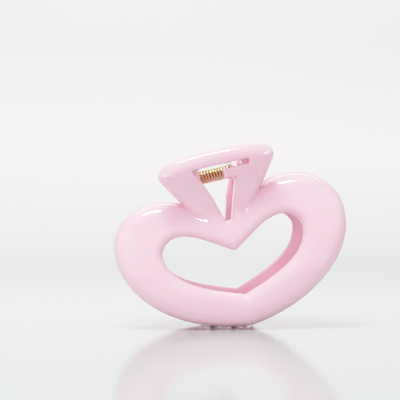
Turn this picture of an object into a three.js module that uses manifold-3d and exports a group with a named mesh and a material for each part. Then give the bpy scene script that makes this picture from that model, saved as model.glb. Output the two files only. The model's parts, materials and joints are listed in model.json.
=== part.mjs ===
// A claw clip for hair: two moulded halves, each an open heart with a thumb lever above it, joined by a
// hinge pin and closed by a torsion spring. Millimetres, +Z up.
//
// The clip is drawn upright: X runs along the hinge, the front half lies on the -Y side, and z = 0 is the
// bottom of the heart. The back half is the front half turned half a turn about Z, with a narrower lever, so
// the ears, the teeth and the spring tongue are placed off centre and come to lie beside their twins. Last, the clip is rolled to
// the side it rests on, because the bottom of a heart is not flat.
import * as THREE from "three";
import { mergeVertices } from "three/addons/utils/BufferGeometryUtils.js";
import Module from "manifold-3d";

const wasm = await Module();
wasm.setup();

// ---------------------------------------------------------------- driving dimensions

const wall = 5; // thickness of the moulded plastic
const restRoll = THREE.MathUtils.degToRad(13); // the clip leans this far towards its left teeth

const heart = { tipZ: 0, sideX: 39.7, sideZ: 32.2, lobeX: 23.1, lobeZ: 47.4, notchZ: 38.3 };
const hole = { tipZ: 10.9, sideX: 24.1, sideZ: 29.2, lobeX: 18, lobeZ: 34.3, notchZ: 25.8 };
// How far each curve of a heart pulls along its tangents, and the points that its tip and notch pull towards.
heart.pull = { sideDown: 15.7, sideUp: 9.8, lobeOut: 7.6, lobeIn: 7.7, tip: [22.5, 2.4], notch: [7.4, 41.5] };
hole.pull = { sideDown: 10.3, sideUp: 1.2, lobeOut: 4.2, lobeIn: 5.7, tip: [10.2, 14.4], notch: [7.7, 30.2] };

// The jaw's front surface, seen from the side, as [y, z].
const jawBow = [
  [-14.2, -4],
  [-17.1, 6],
  [-18.3, 15],
  [-17.1, 25],
  [-14.4, 33],
  [-11.2, 40],
  [-8.6, 50],
];

// The lever's front surface in the same way: it carries on from the jaw, then leans out as a flat face.
const leverBow = [
  [-14.4, 33],
  [-12.5, 36.5],
  [-11.2, 40],
  [-10.8, 43],
  [-11.6, 46],
  [-12.9, 48],
  [-22.07, 61.6],
];
const flatStart = leverBow.at(-2);
const flatEnd = leverBow.at(-1);

const lever = { bottomZ: 33.5, topZ: 60.6 };
lever.bottomX = 5.6;
lever.cornerX = 19.8;
lever.cornerZ = 54.6;
lever.shoulderX = 14.3;
lever.shoulderZ = 59.5;
lever.backWidth = 0.92; // the back lever's width as a share of the front lever's

const tongue = { tipX: 1.7, lowZ: 50.1, topZ: 53.4, slotEndX: 10.7 };
const win = { bottomZ: 36.3, bottomX: 1.5, topZ: 55, topLeftX: -7.9, underTongueX: 5.9 };
// The window's left edge, as [x, z], going down.
win.leftEdge = [
  [-8.5, 54.5],
  [-6.8, 52.2],
  [-5.3, 49.3],
  [-3, 44.2],
  [-0.9, win.bottomZ],
];

const hinge = { z: 52, pinRadius: 1, boreRadius: 1.08, bossRadius: 3.4 };
const ear = { thickness: 2.2, innerX: 6.2, gap: 0.3, footLowZ: 45.5, footHighZ: 57 };
const pinHead = { radius: 1.7, length: 0.7 };

const wire = { radius: 0.46, turns: 11, pitch: 1, coilRadius: 1.95, sides: 8, stepsPerTurn: 14 };
const leg = { endX: 4.2, reachY: 15.8 };

const tooth = { thickness: 2.2, pitch: 7, perHalf: 8, rootY: -13.4, rootZ: 2.6, rootTopZ: 7 };
tooth.flatEndY = 2;
tooth.tipY = 4.2;
const sole = { tipZ: -1.25, flatX: 14, sideRise: 0.6 }; // the line that the undersides of the teeth follow

const widerThanTheClip = 90;

// ---------------------------------------------------------------- solids

// A closed three.js geometry as a manifold-3d solid.
function solid(geometry) {
  const plain = geometry.clone();
  plain.deleteAttribute("normal");
  plain.deleteAttribute("uv");
  const merged = mergeVertices(plain, 1e-4);
  return new wasm.Manifold(
    new wasm.Mesh({
      numProp: 3,
      vertProperties: merged.attributes.position.array,
      triVerts: new Uint32Array(merged.index.array),
    }),
  );
}

// A manifold-3d solid as a three.js geometry.
function geometryOf(made) {
  const mesh = made.getMesh();
  const geometry = new THREE.BufferGeometry();
  geometry.setAttribute("position", new THREE.BufferAttribute(mesh.vertProperties, mesh.numProp));
  geometry.setIndex(new THREE.BufferAttribute(mesh.triVerts, 1));
  geometry.computeVertexNormals();
  return geometry;
}

// A front-view shape, drawn as (x, z), as a prism along Y.
function prismAlongY(shape, lowY, highY, curveSegments = 14) {
  const geometry = new THREE.ExtrudeGeometry(shape, { depth: highY - lowY, bevelEnabled: false, curveSegments });
  return solid(geometry.rotateX(Math.PI / 2).translate(0, highY, 0));
}

// A side-view shape, drawn as (y, z), as a prism along X.
const sideView = new THREE.Matrix4().makeBasis(
  new THREE.Vector3(0, 1, 0),
  new THREE.Vector3(0, 0, 1),
  new THREE.Vector3(1, 0, 0),
);
function prismAlongX(shape, lowX, highX, curveSegments = 10) {
  const geometry = new THREE.ExtrudeGeometry(shape, { depth: highX - lowX, bevelEnabled: false, curveSegments });
  return solid(geometry.applyMatrix4(sideView).translate(lowX, 0, 0));
}

// ---------------------------------------------------------------- the jaw: an open heart, bowed outwards

// A heart's outline, from its tip up the right side to the notch and down the left side.
function heartShape(h) {
  const upTheRight = [
    [0, h.tipZ],
    h.pull.tip,
    [h.sideX, h.sideZ - h.pull.sideDown],
    [h.sideX, h.sideZ],
    [h.sideX, h.sideZ + h.pull.sideUp],
    [h.lobeX + h.pull.lobeOut, h.lobeZ],
    [h.lobeX, h.lobeZ],
    [h.lobeX - h.pull.lobeIn, h.lobeZ],
    h.pull.notch,
    [0, h.notchZ],
  ];
  const downTheLeft = upTheRight.slice(0, -1).reverse().map(([x, z]) => [-x, z]);
  const points = [...upTheRight, ...downTheLeft];
  const shape = new THREE.Shape();
  shape.moveTo(...points[0]);
  for (let i = 1; i < points.length; i += 3) {
    shape.bezierCurveTo(...points[i], ...points[i + 1], ...points[i + 2]);
  }
  return shape;
}

function heartRing() {
  const deep = -widerThanTheClip / 2;
  return prismAlongY(heartShape(heart), deep, 0).subtract(prismAlongY(heartShape(hole), deep - 1, 1));
}

// The side view of a shell one wall thick, from the points of its front surface, going up.
function shellSide(front) {
  const inside = front.map((point, i) => {
    const below = front[Math.max(i - 1, 0)];
    const above = front[Math.min(i + 1, front.length - 1)];
    const along = above.clone().sub(below).normalize();
    return new THREE.Vector2(point.x + along.y * wall, point.y - along.x * wall);
  });
  return new THREE.Shape([...inside, ...front.toReversed()]);
}

function jaw() {
  const points = new THREE.SplineCurve(jawBow.map(([y, z]) => new THREE.Vector2(y, z)));
  const side = shellSide(points.getSpacedPoints(18));
  return heartRing().intersect(prismAlongX(side, -widerThanTheClip / 2, widerThanTheClip / 2));
}

// ---------------------------------------------------------------- the thumb lever and its window

function leverOutline(width) {
  const shape = new THREE.Shape();
  const bottomX = lever.bottomX * width;
  const cornerX = lever.cornerX * width;
  const shoulderX = lever.shoulderX * width;
  shape.moveTo(-bottomX, lever.bottomZ);
  shape.lineTo(bottomX, lever.bottomZ);
  shape.lineTo(cornerX - 0.9, lever.cornerZ - 1.8);
  shape.quadraticCurveTo(cornerX + 0.4, lever.cornerZ, cornerX - 0.5, lever.cornerZ + 2);
  shape.quadraticCurveTo(cornerX - 1.8, lever.shoulderZ - 0.4, shoulderX, lever.shoulderZ);
  shape.quadraticCurveTo(shoulderX / 2, lever.topZ, 0, lever.topZ);
  shape.quadraticCurveTo(-shoulderX / 2, lever.topZ, -shoulderX, lever.shoulderZ);
  shape.quadraticCurveTo(-cornerX + 1.8, lever.shoulderZ - 0.4, -cornerX + 0.5, lever.cornerZ + 2);
  shape.quadraticCurveTo(-cornerX - 0.4, lever.cornerZ, -cornerX + 0.9, lever.cornerZ - 1.8);
  return shape;
}

// A triangle standing on its point, with the spring's tongue reaching in from the right and a slot above it.
function windowOutline() {
  const shape = new THREE.Shape();
  shape.moveTo(win.bottomX, win.bottomZ);
  shape.lineTo(win.underTongueX, tongue.lowZ);
  shape.lineTo(tongue.tipX, tongue.lowZ);
  shape.lineTo(tongue.tipX, tongue.topZ);
  shape.lineTo(tongue.slotEndX, tongue.topZ);
  shape.lineTo(tongue.slotEndX, win.topZ);
  shape.lineTo(win.topLeftX, win.topZ);
  for (const [x, z] of win.leftEdge) shape.lineTo(x, z);
  return shape;
}

function thumbLever(width) {
  const side = shellSide(leverBow.map(([y, z]) => new THREE.Vector2(y, z)));
  const slab = prismAlongX(side, -widerThanTheClip / 2, widerThanTheClip / 2);
  return prismAlongY(leverOutline(width), -widerThanTheClip / 2, 0, 5).intersect(slab);
}

// ---------------------------------------------------------------- the hinge ears

// An ear's side view: a boss round the pin, with a web that spreads to the lever's back.
function earSide() {
  const lean = (flatEnd[0] - flatStart[0]) / (flatEnd[1] - flatStart[1]);
  const footY = (z) => flatStart[0] + (z - flatStart[1]) * lean + wall / 2;
  const shape = new THREE.Shape();
  shape.moveTo(footY(ear.footHighZ), ear.footHighZ);
  shape.lineTo(footY(ear.footLowZ), ear.footLowZ);
  shape.absarc(0, hinge.z, hinge.bossRadius, -Math.PI * 0.6, Math.PI * 0.6, false);
  return shape;
}

// An ear from lowX to highX, drilled for the pin.
function hingeEar(lowX, highX) {
  const drill = new THREE.Shape().absarc(0, hinge.z, hinge.boreRadius, 0, 2 * Math.PI, false);
  const bore = prismAlongX(drill, lowX - 1, highX + 1, 28);
  return prismAlongX(earSide(), lowX, highX, 16).subtract(bore);
}

function hingeEars() {
  const outerX = ear.innerX + ear.thickness + ear.gap;
  const leftInner = hingeEar(-ear.innerX - ear.thickness, -ear.innerX);
  return leftInner.add(hingeEar(outerX, outerX + ear.thickness));
}

// ---------------------------------------------------------------- the teeth

// Height of the undersides of the teeth: a shallow V that the clip can rest on either side of.
function soleZ(x) {
  const flat = Math.min(Math.abs(x), sole.flatX);
  return sole.tipZ + flat * Math.tan(restRoll) + (Math.abs(x) - flat) * sole.sideRise;
}

// One tooth in side view, with its underside at z = 0.
function toothSide() {
  const shape = new THREE.Shape();
  shape.moveTo(tooth.rootY, tooth.rootZ);
  shape.lineTo(0, 0.34);
  shape.quadraticCurveTo(tooth.flatEndY / 2, 0, tooth.flatEndY, 0);
  shape.quadraticCurveTo(tooth.tipY - 0.3, 0.1, tooth.tipY, 1);
  shape.quadraticCurveTo(tooth.tipY - 0.3, 2.1, tooth.flatEndY - 0.6, 2.7);
  shape.quadraticCurveTo(tooth.rootY / 2, 3.6, tooth.rootY * 0.8, tooth.rootTopZ);
  shape.lineTo(tooth.rootY, tooth.rootTopZ);
  return shape;
}

// Teeth stand a quarter pitch off centre, so that the other half's teeth fall midway between them.
function toothCentres() {
  const first = tooth.pitch * (0.25 - tooth.perHalf / 2);
  return Array.from({ length: tooth.perHalf }, (_, i) => first + i * tooth.pitch);
}

function teeth() {
  return toothCentres().map((x) => {
    const side = Math.sign(x);
    const slope = Math.abs(x) > sole.flatX ? sole.sideRise : Math.tan(restRoll);
    const lean = new THREE.Matrix4().makeShear(0, side * slope, 0, 0, 0, 0);
    const geometry = new THREE.ExtrudeGeometry(toothSide(), {
      depth: tooth.thickness,
      bevelEnabled: false,
      curveSegments: 4,
    });
    geometry.applyMatrix4(sideView).translate(-tooth.thickness / 2, 0, 0);
    return solid(geometry.applyMatrix4(lean).translate(x, 0, soleZ(x)));
  });
}

// ---------------------------------------------------------------- one moulded half

function mouldedHalf(leverWidth) {
  const through = prismAlongY(windowOutline(), -widerThanTheClip / 2, 0, 4);
  let half = jaw().add(thumbLever(leverWidth)).subtract(through).add(hingeEars());
  for (const one of teeth()) half = half.add(one);
  return geometryOf(half);
}

// ---------------------------------------------------------------- the hinge pin

function hingePin() {
  const end = ear.innerX + 2 * ear.thickness + ear.gap;
  const shank = end + 0.9;
  const head = end + 0.3;
  const profile = [
    new THREE.Vector2(0, -shank),
    new THREE.Vector2(hinge.pinRadius * 0.8, -shank),
    new THREE.Vector2(hinge.pinRadius, -shank + 0.3),
    new THREE.Vector2(hinge.pinRadius, head),
    new THREE.Vector2(pinHead.radius, head),
    new THREE.Vector2(pinHead.radius, head + pinHead.length * 0.5),
    new THREE.Vector2(pinHead.radius * 0.6, head + pinHead.length),
    new THREE.Vector2(0, head + pinHead.length),
  ];
  return new THREE.LatheGeometry(profile, 24).rotateZ(-Math.PI / 2).translate(0, 0, hinge.z);
}

// ---------------------------------------------------------------- the torsion spring

// The wire's centre line: in from the back half's tongue, round the pin, and out to the front half's tongue.
class SpringLine extends THREE.Curve {
  constructor() {
    super();
    const halfCoil = (wire.turns * wire.pitch) / 2;
    const top = hinge.z + wire.coilRadius;
    const onTongue = tongue.topZ + wire.radius + 0.06;
    const coilLength = wire.turns * 2 * Math.PI * wire.coilRadius;
    this.coil = { start: -halfCoil, share: coilLength / (coilLength + 2 * leg.reachY) };
    this.backLeg = new THREE.LineCurve3(
      new THREE.Vector3(-leg.endX, leg.reachY, onTongue),
      new THREE.Vector3(-halfCoil, 0, top),
    );
    this.frontLeg = new THREE.LineCurve3(
      new THREE.Vector3(halfCoil, 0, top),
      new THREE.Vector3(leg.endX, -leg.reachY, onTongue),
    );
  }
  getPoint(t, target = new THREE.Vector3()) {
    const legShare = (1 - this.coil.share) / 2;
    if (t < legShare) return this.backLeg.getPoint(t / legShare, target);
    if (t > 1 - legShare) return this.frontLeg.getPoint((t - 1 + legShare) / legShare, target);
    const along = (t - legShare) / this.coil.share;
    const turn = along * wire.turns * 2 * Math.PI;
    return target.set(
      this.coil.start + along * wire.turns * wire.pitch,
      -wire.coilRadius * Math.sin(turn),
      hinge.z + wire.coilRadius * Math.cos(turn),
    );
  }
}

function torsionSpring() {
  const section = new THREE.Shape();
  for (let i = 0; i < wire.sides; i += 1) {
    const angle = (i / wire.sides) * 2 * Math.PI;
    const point = [wire.radius * Math.cos(angle), wire.radius * Math.sin(angle)];
    if (i === 0) section.moveTo(...point);
    else section.lineTo(...point);
  }
  const line = new SpringLine();
  line.arcLengthDivisions = 2000;
  const steps = Math.round((wire.turns * wire.stepsPerTurn) / line.coil.share);
  return new THREE.ExtrudeGeometry(section, { steps, extrudePath: line });
}

// ---------------------------------------------------------------- the clip

const pinkPlastic = new THREE.MeshStandardMaterial({ color: 0xf3d3df, roughness: 0.22, metalness: 0 });
const brassWire = new THREE.MeshStandardMaterial({ color: 0xc9a455, roughness: 0.3, metalness: 1 });
const steel = new THREE.MeshStandardMaterial({ color: 0xc4b48a, roughness: 0.35, metalness: 1 });

function named(name, geometry, material) {
  const mesh = new THREE.Mesh(geometry, material);
  mesh.name = name;
  return mesh;
}

const frontHalf = named("front_half", mouldedHalf(1), pinkPlastic);
const backHalf = named("back_half", mouldedHalf(lever.backWidth), pinkPlastic);
backHalf.rotation.z = Math.PI;

const upright = new THREE.Group();
upright.add(frontHalf, backHalf);
upright.add(named("hinge_pin", hingePin(), steel));
upright.add(named("torsion_spring", torsionSpring(), brassWire));
upright.rotation.y = -restRoll;

// The origin is the middle of the bottom of the clip's box, on the surface that the clip rests on.
const box = new THREE.Box3().setFromObject(upright, true);
const middle = box.getCenter(new THREE.Vector3());
upright.position.set(-middle.x, -middle.y, -box.min.z);

const clip = new THREE.Group();
clip.add(upright);

export default clip;
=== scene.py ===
"""The looks of the heart claw clip: two glossy moulded halves, a gold torsion spring and a hinge pin.

Each half is one smooth solid, described by a signed distance field and then meshed. Shapes are written in
millimetres in the clip's upright frame: X along the hinge, -Y towards the front half, Z up, with the origin
at the bottom of the heart. upright_to_row() puts them into the row's frame, in metres.
"""

import json
import math

import bpy
import numpy as np
import openvdb
from mathutils import Matrix, Vector

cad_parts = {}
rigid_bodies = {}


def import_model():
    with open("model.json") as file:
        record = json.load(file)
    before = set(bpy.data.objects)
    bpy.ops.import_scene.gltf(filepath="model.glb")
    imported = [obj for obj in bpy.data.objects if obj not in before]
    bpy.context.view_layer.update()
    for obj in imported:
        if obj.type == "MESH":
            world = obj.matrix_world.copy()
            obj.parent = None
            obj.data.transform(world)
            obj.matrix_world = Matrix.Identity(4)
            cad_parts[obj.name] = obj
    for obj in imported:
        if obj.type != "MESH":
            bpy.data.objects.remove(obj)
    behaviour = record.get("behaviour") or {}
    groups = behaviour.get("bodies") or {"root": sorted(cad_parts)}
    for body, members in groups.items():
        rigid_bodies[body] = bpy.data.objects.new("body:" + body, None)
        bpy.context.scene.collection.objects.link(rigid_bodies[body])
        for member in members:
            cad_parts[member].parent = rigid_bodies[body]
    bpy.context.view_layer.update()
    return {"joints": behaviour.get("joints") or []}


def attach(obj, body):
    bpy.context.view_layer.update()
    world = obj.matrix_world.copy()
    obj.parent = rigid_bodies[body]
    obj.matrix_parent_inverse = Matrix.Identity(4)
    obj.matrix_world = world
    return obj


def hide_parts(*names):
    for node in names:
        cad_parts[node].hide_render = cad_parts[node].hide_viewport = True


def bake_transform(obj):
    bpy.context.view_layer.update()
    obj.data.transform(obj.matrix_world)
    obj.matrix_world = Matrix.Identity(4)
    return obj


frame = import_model()

# ---------------------------------------------------------------- the clip's own frame

MM = 0.001
HINGE_Z = 52.0  # height of the hinge above the bottom of the heart, when upright

hinge = frame["joints"][0]
hinge_point = Vector(hinge["pos_m"])
hinge_axis = Vector(hinge["axis"]).normalized()
front_jaw = hinge["child"]
back_jaw = hinge["parent"]
rest_roll = math.atan2(hinge_axis.z, hinge_axis.x)


def upright_to_row():
    """The matrix from upright millimetres to the row's metres."""
    turn = Matrix.Rotation(-rest_roll, 4, "Y")
    origin = hinge_point - turn @ Vector((0, 0, HINGE_Z * MM))
    return Matrix.Translation(origin) @ turn @ Matrix.Scale(MM, 4)


TO_ROW = upright_to_row()
HALF_TURN = Matrix.Rotation(math.pi, 4, "Z")

# ---------------------------------------------------------------- plane curves

FAR = 1e9
TINY = 1e-12  # stands in for zero where a division needs it


def bezier(p0, p1, p2, p3, steps=24):
    """Points along a cubic stretch, without its last one."""
    t = np.linspace(0, 1, steps, endpoint=False)[:, None]
    p0, p1, p2, p3 = (np.array(p, float) for p in (p0, p1, p2, p3))
    return (1 - t) ** 3 * p0 + 3 * (1 - t) ** 2 * t * p1 + 3 * (1 - t) * t**2 * p2 + t**3 * p3


def curve(start, *pieces):
    """A chain of cubic stretches from start: each piece is (pull, pull, end), or (end,) if straight."""
    points = []
    here = start
    for piece in pieces:
        if len(piece) == 1:
            points.append(np.array([here], float))
        else:
            points.append(bezier(here, *piece))
        here = piece[-1]
    points.append(np.array([here], float))
    return np.concatenate(points)


def mirrored(right_side):
    """Closes a right-hand side, which runs between two points on x = 0, with its mirror image."""
    left = right_side[::-1][1:-1] * (-1, 1)
    return np.concatenate([right_side, left])


def distance_map(outline, low, high, step):
    """Signed distance to a closed outline, negative inside, on a grid of (x, z)."""
    xs = np.arange(low[0], high[0] + step, step)
    zs = np.arange(low[1], high[1] + step, step)
    px, pz = np.meshgrid(xs, zs, indexing="ij")
    best = np.full(px.shape, FAR)
    inside = np.zeros(px.shape, bool)
    for (ax, az), (bx, bz) in zip(outline, np.roll(outline, -1, axis=0)):
        ex, ez = bx - ax, bz - az
        along = np.clip(((px - ax) * ex + (pz - az) * ez) / max(ex * ex + ez * ez, TINY), 0, 1)
        best = np.minimum(best, (px - ax - along * ex) ** 2 + (pz - az - along * ez) ** 2)
        crosses = (az > pz) != (bz > pz)
        inside ^= crosses & (px < ax + ex * (pz - az) / (ez if ez else TINY))
    return np.sqrt(best) * np.where(inside, -1, 1)


class Outline:
    """A closed outline whose signed distance can be read anywhere."""

    STEP = 0.2
    LOW = (-43.0, -6.0)
    HIGH = (43.0, 66.0)
    BEFORE_LAST = 1.001  # a place is kept this many steps short of the map's size, inside its last cell

    def __init__(self, points):
        self.map = distance_map(points, self.LOW, self.HIGH, self.STEP)

    def __call__(self, x, z):
        i = np.clip((x - self.LOW[0]) / self.STEP, 0, self.map.shape[0] - self.BEFORE_LAST)
        k = np.clip((z - self.LOW[1]) / self.STEP, 0, self.map.shape[1] - self.BEFORE_LAST)
        i0, k0 = i.astype(int), k.astype(int)
        part_i, part_k = i - i0, k - k0
        m = self.map
        low = m[i0, k0] * (1 - part_i) + m[i0 + 1, k0] * part_i
        high = m[i0, k0 + 1] * (1 - part_i) + m[i0 + 1, k0 + 1] * part_i
        return low * (1 - part_k) + high * part_k


# ---------------------------------------------------------------- joining and cutting distance fields


def round_and(a, b, r):
    """Both at once, with the edge between them rounded to radius r."""
    return np.minimum(np.maximum(a, b), -r) + np.hypot(np.maximum(a + r, 0), np.maximum(b + r, 0))


def round_and_tilted(a, b, r, cosine):
    """The same for fields whose gradients are not square to each other, but meet at a known cosine."""
    past_a, past_b = a + r, b + r
    between = (past_a > cosine * past_b) & (past_b > cosine * past_a)
    squared = past_a**2 + past_b**2 - 2 * cosine * past_a * past_b
    corner = np.sqrt(np.maximum(squared, 0) / (1 - cosine**2))
    return np.where(between, corner, np.maximum(past_a, past_b)) - r


def blend_or(a, b, r):
    """Either one, with the corner between them filled softly over about r."""
    h = np.clip(r - np.abs(a - b), 0, None) / r
    return np.minimum(a, b) - h**3 * r / 6


# ---------------------------------------------------------------- the moulded half

WALL = 5.0

heart_outline = Outline(mirrored(curve(
    (0, 0),
    ((22.5, 2.4), (39.7, 16.5), (39.7, 32.2)),
    ((39.7, 42.0), (30.7, 47.4), (23.1, 47.4)),
    ((15.4, 47.4), (7.4, 41.5), (0, 38.3)),
)))
hole_outline = Outline(mirrored(curve(
    (0, 10.9),
    ((10.2, 14.4), (24.1, 18.9), (24.1, 29.2)),
    ((24.1, 30.4), (22.2, 34.3), (18, 34.3)),
    ((12.3, 34.3), (7.7, 30.2), (0, 25.8)),
)))
lever_outline = Outline(mirrored(curve(
    (0, 33.5),
    ((5.6, 33.5),),
    ((11.5, 41.5), (16.8, 49), (18.9, 52.8)),
    ((20.9, 55.5), (19.8, 58.3), (14.3, 59.5)),
    ((9, 60.3), (5, 60.6), (0, 60.6)),
)))
window_outline = Outline(curve(
    (-0.9, 36.3),
    ((1.5, 36.3),),
    ((5.9, 50.1),),
    ((1.7, 50.1),),
    ((1.7, 53.4),),
    ((10.7, 53.4),),
    ((10.7, 55.0),),
    ((-7.9, 55.0),),
    ((-8.5, 54.5),),
    ((-6.8, 52.2),),
    ((-5.3, 49.3),),
    ((-3.0, 44.2),),
))

# The bow of the jaw's front surface: a point on it every so often, going up.
BOW_Z = np.array([-4.0, 6, 15, 25, 33, 40, 50])
BOW_Y = np.array([-15.3, -17.5, -18.3, -17.1, -14.4, -11.2, -8.6])

# The lever's front surface in the same way: it carries on from the jaw, then leans out.
LEAN_Z = np.array([33, 36.5, 40, 43, 46, 48, 61.6])
LEAN_Y = np.array([-14.4, -12.5, -11.2, -10.8, -11.6, -12.9, -23.0])


class Profile:
    """A front surface in side view: its y and the cosine of its slope at any height, free of corners."""

    LOW, HIGH, COUNT = -8, 66, 371
    SMOOTHING = 17  # each height is averaged with this many on either side

    def __init__(self, table_z, table_y):
        self.z = np.linspace(self.LOW, self.HIGH, self.COUNT)
        past_end = (table_y[-1] - table_y[-2]) / (table_z[-1] - table_z[-2])
        y = np.interp(self.z, table_z, table_y) + past_end * np.clip(self.z - table_z[-1], 0, None)
        kernel = np.hanning(2 * self.SMOOTHING + 1)
        padded = np.pad(y, self.SMOOTHING, mode="reflect", reflect_type="odd")
        self.y = np.convolve(padded, kernel / kernel.sum(), mode="valid")
        slope = np.gradient(self.y, self.z)
        self.cosine = 1 / np.sqrt(1 + slope**2)
        self.rise = slope * self.cosine

    def y_at(self, z):
        return np.interp(z, self.z, self.y)

    def rise_at(self, z):
        """The upward part of the surface's forward normal."""
        return np.interp(z, self.z, self.rise)

    def ahead(self, y, z):
        """How far a point lies in front of the surface."""
        return (self.y_at(z) - y) * np.interp(z, self.z, self.cosine)


jaw_front = Profile(BOW_Z, BOW_Y)
lever_front = Profile(LEAN_Z, LEAN_Y)

OUTER_ROUND = 4.4
HOLE_ROUND = 3.4
BACK_ROUND = 0.9
WINDOW_ROUND = 0.8
CROWN = 0.5
CROWN_REACH = 6.0  # how far from the edges the crown reaches its full height

LEVER_THICK = 5.2
LEVER_ROUND = 3.3
OUTLINE_NUDGE = 0.2
FILLET_X = (3.0, 8.0)  # the fillet between jaw and lever shrinks from the middle outwards
FILLET = (3.8, 0.6)


def jaw_field(x, y, z):
    """The open heart, bowed forwards, with a slight crown along the middle of its band."""
    outer = heart_outline(x, z)
    rim = -hole_outline(x, z)
    middle = np.clip(-np.maximum(outer, rim) / CROWN_REACH, 0, 1)
    crown = CROWN * middle * middle * (3 - 2 * middle)
    to_front = jaw_front.ahead(y, z)
    front = to_front - crown + CROWN
    back = -to_front - WALL
    shell = round_and(outer, front, OUTER_ROUND)
    shell = np.maximum(shell, round_and(rim, front, HOLE_ROUND))
    shell = np.maximum(shell, round_and(outer, back, BACK_ROUND))
    return np.maximum(shell, round_and(rim, back, BACK_ROUND))


def lever_field(x, y, z, width):
    """The lever, whose lip stays truly round where its outline meets the leaning front at a wide angle."""
    outline = lever_outline(x / width, z)
    above = lever_outline(x / width, z + OUTLINE_NUDGE)
    below = lever_outline(x / width, z - OUTLINE_NUDGE)
    upward = (above - below) / (2 * OUTLINE_NUDGE)
    between = np.clip(upward, -1, 1) * lever_front.rise_at(z)
    to_front = lever_front.ahead(y, z)
    back = -to_front - LEVER_THICK
    front_edge = round_and_tilted(outline, to_front, LEVER_ROUND, between)
    return np.maximum(front_edge, round_and(outline, back, BACK_ROUND))


EAR_THICK = 2.2
EAR_GAP = 0.3
EAR_INNER = 6.2  # from the clip's middle to the nearest ears
# The front half has the inner ear on the left and the outer one on the right. The back half has the reverse.
EAR_CENTRES = (-EAR_INNER - EAR_THICK / 2, EAR_INNER + EAR_THICK * 1.5 + EAR_GAP)
EAR_FOOT = (45.5, 57.0)  # the heights that the web widens to
EAR_FOOT_DEPTH = 12.0  # how far in front of the hinge it has widened
EAR_SLANT = 0.97  # about the cosine of the web's slanted edges
EAR_BLEND = 1.0
EAR_EDGE_ROUND = 0.45
BOSS_RADIUS = 3.4
BORE_RADIUS = 1.08


def ear_field(x, y, z, centre):
    """A boss round the pin and a web that widens to the lever's back."""
    boss = np.hypot(y, z - HINGE_Z) - BOSS_RADIUS
    depth = np.clip(-y / EAR_FOOT_DEPTH, 0, 1)
    low = HINGE_Z - BOSS_RADIUS + depth * (EAR_FOOT[0] - HINGE_Z + BOSS_RADIUS)
    high = HINGE_Z + BOSS_RADIUS + depth * (EAR_FOOT[1] - HINGE_Z - BOSS_RADIUS)
    lever_y = lever_front.y_at(z) + LEVER_THICK / 2
    web = np.maximum(np.maximum(low - z, z - high) * EAR_SLANT, np.maximum(y, lever_y - y))
    side = blend_or(boss, web, EAR_BLEND)
    return round_and(side, np.abs(x - centre) - EAR_THICK / 2, EAR_EDGE_ROUND)


TEETH = 8
TOOTH_PITCH = 7.0
TOOTH_STAGGER = 0.25  # of a pitch off centre, so that the teeth of the two halves pass each other
TOOTH_ROOT_Y = -14.0
TOOTH_TIP_Y = 4.2
TOOTH_HALF = 1.15  # half a tooth's thickness
TOOTH_WIDEST = 1.12  # its thickness at the root, as a share of that
TOOTH_TAPER = 0.30  # how much of that is gone at the tip
TOOTH_TIP_HEIGHT = 2.4
TOOTH_ROOT_EXTRA = 4.6  # how much taller a tooth is at its root than at its tip
TOOTH_HOLLOW = 2.2  # how hollow its upper side is: 1 is straight
TOOTH_EDGE_ROUND = 0.55
TOOTH_TIP_ROUND = 1.0
TOOTH_BLEND = 1.0
TOOTH_NEAR = 5.0  # a tooth is worked out only this close to its middle

SOLE_TIP = -1.25
SOLE_FLAT = 14.0  # the clip rests on the V this far out on either side, and the V is steeper past it
SOLE_RISE = 0.6
SOLE_LIFT_Y = 2.0  # a tooth's underside is level from its tip back to here, then rises to its root
SOLE_LIFT = 0.17


def sole_height(x):
    """Height of the undersides of the teeth: a shallow V that the clip can rest on either side of."""
    flat = np.minimum(np.abs(x), SOLE_FLAT)
    return SOLE_TIP + flat * math.tan(rest_roll) + (np.abs(x) - flat) * SOLE_RISE


def tooth_field(x, y, z, centre):
    """A claw that reaches inwards from the rim: flat below, hollow above, and narrow at its tip."""
    reach = np.clip((y - TOOTH_ROOT_Y) / (TOOTH_TIP_Y - TOOTH_ROOT_Y), 0, 1)
    above = z - sole_height(x) - SOLE_LIFT * np.clip(SOLE_LIFT_Y - y, 0, None)
    top = TOOTH_TIP_HEIGHT + TOOTH_ROOT_EXTRA * (1 - reach) ** TOOTH_HOLLOW
    half = TOOTH_HALF * (TOOTH_WIDEST - TOOTH_TAPER * reach)
    cross = round_and(np.abs(x - centre) - half, np.maximum(-above, above - top), TOOTH_EDGE_ROUND)
    return round_and(cross, y - TOOTH_TIP_Y, TOOTH_TIP_ROUND)


def half_field(points, lever_width):
    """Signed distance, in mm, to a half's surface at each row of points.

    lever_width is the lever's width as a share of the front lever's.
    """
    x, y, z = points[:, 0], points[:, 1], points[:, 2]
    fillet = np.interp(np.abs(x), FILLET_X, FILLET)
    field = blend_or(jaw_field(x, y, z), lever_field(x, y, z, lever_width), fillet)
    field = round_and(field, -window_outline(x, z), WINDOW_ROUND)
    for centre in EAR_CENTRES:
        field = blend_or(field, ear_field(x, y, z, centre), EAR_BLEND)
    field = np.maximum(field, BORE_RADIUS - np.hypot(y, z - HINGE_Z))
    for number in range(TEETH):
        centre = TOOTH_PITCH * (TOOTH_STAGGER - TEETH / 2 + number)
        near = np.abs(x - centre) < TOOTH_NEAR
        tooth = np.maximum(tooth_field(x[near], y[near], z[near], centre), TOOTH_ROOT_Y - y[near])
        field[near] = blend_or(field[near], tooth, TOOTH_BLEND)
    return field


VOXEL = 0.4  # mm
FIELD_LOW = np.array([-41.0, -23.5, -3.0])
FIELD_HIGH = np.array([41.0, 5.5, 63.0])
FIELD_OUTSIDE = 9.0  # the distance that stands for everywhere past the grid

PULLS = 3
PULL_NUDGE = 0.02
LEAST_SQUARED_SLOPE = 0.25
LONGEST_PULL = 0.5  # of a voxel


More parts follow.
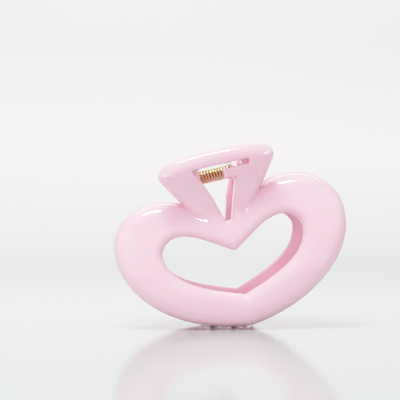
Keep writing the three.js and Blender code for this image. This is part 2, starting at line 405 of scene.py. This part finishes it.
def pull_to_surface(points, field):
    """Moves mesh points onto the field's zero surface, along the field's gradient."""
    for _ in range(PULLS):
        here = field(points)
        slope = np.stack([
            (field(points + PULL_NUDGE * axis) - field(points - PULL_NUDGE * axis)) / (2 * PULL_NUDGE)
            for axis in np.eye(3)
        ], axis=1)
        steep = np.maximum((slope**2).sum(1), LEAST_SQUARED_SLOPE)
        move = -(here / steep)[:, None] * slope
        length = np.linalg.norm(move, axis=1, keepdims=True)
        points = points + move * np.minimum(1, VOXEL * LONGEST_PULL / np.maximum(length, TINY))
    return points


def half_mesh(lever_width):
    """Vertices, in upright mm, and faces of a half, as it lies in front."""
    def field(points):
        return half_field(points, lever_width)

    counts = np.ceil((FIELD_HIGH - FIELD_LOW) / VOXEL).astype(int) + 1
    axes = [FIELD_LOW[i] + VOXEL * np.arange(counts[i]) for i in range(3)]
    values = np.empty(counts, np.float32)
    for i, x in enumerate(axes[0]):
        y, z = np.meshgrid(axes[1], axes[2], indexing="ij")
        points = np.stack([np.full(y.size, x), y.ravel(), z.ravel()], axis=1)
        values[i] = field(points).reshape(y.shape)
    grid = openvdb.FloatGrid(FIELD_OUTSIDE)
    grid.copyFromArray(values)
    points, _, quads = grid.convertToPolygons(isovalue=0.0, adaptivity=0.0)
    points = pull_to_surface(FIELD_LOW + VOXEL * points.astype(float), field)
    return points, quads[:, ::-1]


def mesh_object(name, points, faces, matrix, material):
    """A smooth-shaded object in the scene, from points that the matrix takes to the row's frame."""
    mesh = bpy.data.meshes.new(name)
    mesh.from_pydata([tuple(p) for p in points], [], [tuple(int(i) for i in f) for f in faces])
    mesh.transform(matrix)
    mesh.validate()
    mesh.materials.append(material)
    mesh.polygons.foreach_set("use_smooth", [True] * len(mesh.polygons))
    mesh.update()
    made = bpy.data.objects.new(name, mesh)
    bpy.context.scene.collection.objects.link(made)
    return made


# ---------------------------------------------------------------- materials


def new_material(name):
    """A new material with its nodes and links."""
    material = bpy.data.materials.new(name)
    material.use_nodes = True
    return material, material.node_tree.nodes, material.node_tree.links


def set_inputs(node, values):
    """Sets a node's own sockets, given by name."""
    for name, value in values.items():
        node.inputs[name].default_value = value


def noise(nodes, links, place, values):
    """A noise texture fixed to the object."""
    texture = nodes.new("ShaderNodeTexNoise")
    set_inputs(texture, values)
    links.new(place.outputs["Object"], texture.inputs["Vector"])
    return texture


def mottled(nodes, links, texture, low, high):
    """A ramp between two colours, each given with its position, driven by a noise texture."""
    tint = nodes.new("ShaderNodeValToRGB")
    for element, (position, colour) in zip(tint.color_ramp.elements, (low, high)):
        element.position = position
        element.color = (*colour, 1)
    links.new(texture.outputs["Fac"], tint.inputs["Fac"])
    return tint


PINKS = (
    (0.3, (0.980, 0.538, 0.656)),
    (0.7, (0.985, 0.573, 0.690)),
)


def pink_plastic():
    """Milky, glossy plastic: faintly cloudy in colour, with a barely rippled surface."""
    material, nodes, links = new_material("pink_plastic")
    shader = nodes["Principled BSDF"]
    set_inputs(shader, {
        "Roughness": 0.09,
        "IOR": 1.49,
        "Coat Weight": 0.6,
        "Coat Roughness": 0.04,
        "Subsurface Weight": 0.55,
        "Subsurface Radius": (1.0, 0.45, 0.55),
        "Subsurface Scale": 0.002,
    })
    place = nodes.new("ShaderNodeTexCoord")
    cloud = noise(nodes, links, place, {"Scale": 45, "Detail": 3})
    tint = mottled(nodes, links, cloud, *PINKS)
    links.new(tint.outputs["Color"], shader.inputs["Base Color"])
    ripple = noise(nodes, links, place, {"Scale": 120})
    bump = nodes.new("ShaderNodeBump")
    set_inputs(bump, {"Strength": 0.02, "Distance": 0.001})
    links.new(ripple.outputs["Fac"], bump.inputs["Height"])
    links.new(bump.outputs["Normal"], shader.inputs["Normal"])
    return material


def gold_metal(name, low, high, roughness):
    """Plated metal with a fine mottle between two golds."""
    material, nodes, links = new_material(name)
    shader = nodes["Principled BSDF"]
    set_inputs(shader, {"Metallic": 1, "Roughness": roughness})
    stain = noise(nodes, links, nodes.new("ShaderNodeTexCoord"), {"Scale": 900})
    tint = mottled(nodes, links, stain, (0, low), (1, high))
    links.new(tint.outputs["Color"], shader.inputs["Base Color"])
    return material


pink = pink_plastic()
spring_gold = gold_metal("spring_gold", (0.74, 0.53, 0.30), (0.84, 0.63, 0.38), 0.2)
pin_gold = gold_metal("pin_gold", (0.68, 0.52, 0.33), (0.78, 0.62, 0.42), 0.25)

# ---------------------------------------------------------------- the halves

BACK_LEVER_WIDTH = 0.92  # as a share of the front lever's

for node, body, turn, lever_width in (
    ("front_half", front_jaw, Matrix(), 1.0),
    ("back_half", back_jaw, HALF_TURN, BACK_LEVER_WIDTH),
):
    half = mesh_object(node + "_moulding", *half_mesh(lever_width), TO_ROW @ turn, pink)
    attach(half, body)
    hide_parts(node)

# ---------------------------------------------------------------- the spring

WIRE_RADIUS = 0.46
WIRE_SIDES = 16
COIL_RADIUS = 1.95
TURNS = 11
STEPS_PER_TURN = 40
COIL_PITCH = 1.0
LEG_END = (4.2, -15.8)  # where the front leg ends on its tongue: x and y
LEG_STEPS = 15
TONGUE_TOP = 53.4
TONGUE_GAP = 0.06


def spring_line():
    """The wire's centre line: back leg, coil round the pin, front leg."""
    half_coil = TURNS * COIL_PITCH / 2
    on_tongue = TONGUE_TOP + WIRE_RADIUS + TONGUE_GAP
    turn = np.linspace(0, TURNS, TURNS * STEPS_PER_TURN + 1)
    angle = 2 * math.pi * turn
    coil = np.stack([
        -half_coil + turn * COIL_PITCH,
        -COIL_RADIUS * np.sin(angle),
        HINGE_Z + COIL_RADIUS * np.cos(angle),
    ], axis=1)
    leg = np.linspace(0, 1, LEG_STEPS + 1)[:-1, None]
    back = np.array([-LEG_END[0], -LEG_END[1], on_tongue]) * (1 - leg) + coil[0] * leg
    front = coil[-1] * leg + np.array([LEG_END[0], LEG_END[1], on_tongue]) * (1 - leg)
    return np.concatenate([back, coil, front[::-1]])


def tube(line, radius, sides):
    """A round closed tube along a line of points, with flat ends."""
    tangent = np.gradient(line, axis=0)
    tangent /= np.linalg.norm(tangent, axis=1, keepdims=True)
    side = np.cross(tangent[0], (0.0, 0.0, 1.0))
    rings = []
    angles = np.linspace(0, 2 * math.pi, sides, endpoint=False)
    for centre, along in zip(line, tangent):
        side = side - along * (side @ along)
        side /= np.linalg.norm(side)
        other = np.cross(along, side)
        rings.append(centre + radius * (np.cos(angles)[:, None] * side + np.sin(angles)[:, None] * other))
    points = np.concatenate(rings)
    faces = []
    for ring in range(len(line) - 1):
        for k in range(sides):
            a, b = ring * sides + k, ring * sides + (k + 1) % sides
            faces.append((a, b, b + sides, a + sides))
    faces.append(tuple(range(sides))[::-1])
    last = (len(line) - 1) * sides
    faces.append(tuple(range(last, last + sides)))
    return points, faces


spring = mesh_object("spring_wire", *tube(spring_line(), WIRE_RADIUS, WIRE_SIDES), TO_ROW, spring_gold)
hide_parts("torsion_spring")
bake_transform(spring)

# ---------------------------------------------------------------- the pin

PIN_RADIUS = 1.0
PIN_END = EAR_INNER + 2 * EAR_THICK + EAR_GAP


def lathe_x(profile, sides=32):
    """A solid turned about the hinge, from a profile of (x, radius) that starts and ends at radius 0."""
    points = [(profile[0][0], 0, HINGE_Z)]
    for x, radius in profile[1:-1]:
        for k in range(sides):
            angle = 2 * math.pi * k / sides
            points.append((x, radius * math.cos(angle), HINGE_Z + radius * math.sin(angle)))
    points.append((profile[-1][0], 0, HINGE_Z))
    rings = len(profile) - 2
    faces = []
    for k in range(sides):
        n = (k + 1) % sides
        faces.append((0, 1 + n, 1 + k))
        for ring in range(rings - 1):
            a, b = 1 + ring * sides + k, 1 + ring * sides + n
            faces.append((a, b, b + sides, a + sides))
        a, b = 1 + (rings - 1) * sides + k, 1 + (rings - 1) * sides + n
        faces.append((a, b, len(points) - 1))
    return points, faces


# A tapered end on the left and a domed head on the right.
pin_profile = [
    (-PIN_END - 0.9, 0),
    (-PIN_END - 0.9, 0.7),
    (-PIN_END - 0.8, 0.86),
    (-PIN_END - 0.6, PIN_RADIUS),
    (PIN_END + 0.3, PIN_RADIUS),
    (PIN_END + 0.3, 1.6),
    (PIN_END + 0.4, 1.7),
    (PIN_END + 0.62, 1.66),
    (PIN_END + 0.85, 1.4),
    (PIN_END + 0.96, 1.0),
    (PIN_END + 1.0, 0.5),
    (PIN_END + 1.0, 0),
]
pin = mesh_object("hinge_pin_metal", *lathe_x(pin_profile), TO_ROW, pin_gold)
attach(pin, back_jaw)
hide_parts("hinge_pin")

# ---------------------------------------------------------------- floor, light and camera

# The stage's colours from the table, past the start of the curve, to the backdrop: each with its place
# along Y, as a share of the stage's depth. Their brightness is painted light and shade: lighter from the
# table back to partway up the curve, then darker again further up the backdrop.
STAGE_DEPTH = 1.7
STAGE_TONES_AND_PAINTED_LIGHT = (
    (0.11, (0.500, 0.580, 0.565, 1)),
    (0.365, (0.695, 0.708, 0.706, 1)),
    (0.475, (0.765, 0.762, 0.748, 1)),
    (0.56, (0.865, 0.828, 0.800, 1)),
    (0.71, (0.680, 0.670, 0.660, 1)),
)


def stage_material():
    """A polished pale table near the clip that turns into a warmer, matter backdrop further back, with
    painted
    light and shade: lighter towards the start of the curve, darker further up.
    """
    material, nodes, links = new_material("table")
    shader = nodes["Principled BSDF"]
    place = nodes.new("ShaderNodeTexCoord")
    split = nodes.new("ShaderNodeSeparateXYZ")
    back = nodes.new("ShaderNodeMapRange")
    set_inputs(back, {"From Min": 0.0, "From Max": STAGE_DEPTH})
    # The ramp paints light and shade along Y, on top of the stage's own colour.
    tint = nodes.new("ShaderNodeValToRGB")
    ramp = tint.color_ramp.elements
    ramp[0].position, ramp[0].color = STAGE_TONES_AND_PAINTED_LIGHT[0]
    ramp[1].position, ramp[1].color = STAGE_TONES_AND_PAINTED_LIGHT[-1]
    for position, colour in STAGE_TONES_AND_PAINTED_LIGHT[1:-1]:
        ramp.new(position).color = colour
    gloss = nodes.new("ShaderNodeMapRange")
    set_inputs(gloss, {"From Min": 0.1, "From Max": 0.6, "To Min": 0.11, "To Max": 0.6})
    links.new(place.outputs["Object"], split.inputs["Vector"])
    links.new(split.outputs["Y"], back.inputs["Value"])
    links.new(back.outputs["Result"], tint.inputs["Fac"])
    links.new(split.outputs["Y"], gloss.inputs["Value"])
    links.new(gloss.outputs["Result"], shader.inputs["Roughness"])
    links.new(tint.outputs["Color"], shader.inputs["Base Color"])
    return material


# The stage in side view, in metres: flat from front to corner, then an arc, then straight up.
STAGE_HALF_WIDTH = 3.0
STAGE_FRONT = -1.6
STAGE_BEFORE_CLIP = -0.4
STAGE_CORNER = 0.5
STAGE_RADIUS = 1.2
STAGE_TOP = 3.2
STAGE_STEPS = 48


def stage_sweep():
    """A table that runs back and curves up into a backdrop."""
    line = [(STAGE_FRONT, 0.0), (STAGE_BEFORE_CLIP, 0.0), (STAGE_CORNER, 0.0)]
    for k in range(1, STAGE_STEPS + 1):
        angle = math.pi / 2 * k / STAGE_STEPS
        line.append((STAGE_CORNER + STAGE_RADIUS * math.sin(angle), STAGE_RADIUS * (1 - math.cos(angle))))
    line.append((STAGE_CORNER + STAGE_RADIUS, STAGE_TOP))
    points = [(x, y, z) for y, z in line for x in (-STAGE_HALF_WIDTH, STAGE_HALF_WIDTH)]
    faces = [(2 * i, 2 * i + 1, 2 * i + 3, 2 * i + 2) for i in range(len(line) - 1)]
    return points, faces


floor = mesh_object("floor", *stage_sweep(), Matrix(), stage_material())


def area_light(name, place, target, size, power, in_reflections=True):
    """A rectangular lamp that faces its target, which can be kept out of reflections."""
    light = bpy.data.lights.new(name, "AREA")
    light.shape = "RECTANGLE"
    light.size, light.size_y = size
    light.energy = power
    made = bpy.data.objects.new(name, light)
    bpy.context.scene.collection.objects.link(made)
    made.location = place
    made.visible_glossy = in_reflections
    made.rotation_euler = (Vector(target) - Vector(place)).to_track_quat("-Z", "Y").to_euler()


# Lamps: name, place and target in metres, width and height, and power in watts.
clip_middle = (0, 0, 0.03)
backdrop = (0, 1.7, 0.3)
area_light("overhead", (-0.15, -0.23, 0.78), clip_middle, (0.42, 0.13), 5.4)
area_light("front", (-0.1, -1.3, 0.9), clip_middle, (1.4, 0.8), 2.0, in_reflections=False)
area_light("low", (-0.15, -1.5, 0.22), clip_middle, (1.8, 0.36), 7.6, in_reflections=False)
area_light("left", (-1.0, -0.5, 0.4), clip_middle, (0.7, 0.7), 3.0, in_reflections=False)
area_light("right", (1.0, -0.5, 0.4), clip_middle, (0.7, 0.7), 1.0, in_reflections=False)
area_light("behind", (0, 0.7, 1.3), backdrop, (1.6, 0.5), 19.0)

world = bpy.data.worlds.new("studio")
world.use_nodes = True
set_inputs(world.node_tree.nodes["Background"], {"Color": (1, 1, 1, 1), "Strength": 0.5})
bpy.context.scene.world = world

CAMERA_FROM_HINGE = Vector((-0.03967, -0.4477, -0.00589))
CAMERA_YAW = math.radians(4.43)
CAMERA_PITCH = math.radians(-0.353)

camera = bpy.data.cameras.new("camera")
camera.lens = 117.45
camera.sensor_width = 36
camera.clip_start = 0.01
camera.clip_end = 20
camera_object = bpy.data.objects.new("camera", camera)
camera_object.location = hinge_point + CAMERA_FROM_HINGE
camera_object.rotation_euler = (math.pi / 2 + CAMERA_PITCH, 0, -CAMERA_YAW)
bpy.context.scene.collection.objects.link(camera_object)
bpy.context.scene.camera = camera_object

SHOULDER_START = 0.5
SHOULDER_STOPS = (0.25, 0.5, 0.65, 0.8, 1.0, 1.25, 1.5, 1.8, 2.2, 2.7)
BRIGHTEST = 3.5
COMBINED_CURVE = 3


def shoulder(x):
    """Film-like response: straight up to SHOULDER_START, then easing off towards white."""
    rest = 1 - SHOULDER_START
    return x if x < SHOULDER_START else SHOULDER_START + rest * (1 - math.exp((SHOULDER_START - x) / rest))


def soft_highlights(view):
    """Sets the shoulder as the curve of the view settings."""
    view.view_transform = "Standard"
    view.use_curve_mapping = True
    view.curve_mapping.white_level = (BRIGHTEST, BRIGHTEST, BRIGHTEST)
    combined = view.curve_mapping.curves[COMBINED_CURVE]
    combined.points[-1].location = (1, shoulder(BRIGHTEST))
    for x in SHOULDER_STOPS:
        combined.points.new(x / BRIGHTEST, shoulder(x))
    view.curve_mapping.update()


soft_highlights(bpy.context.scene.view_settings)
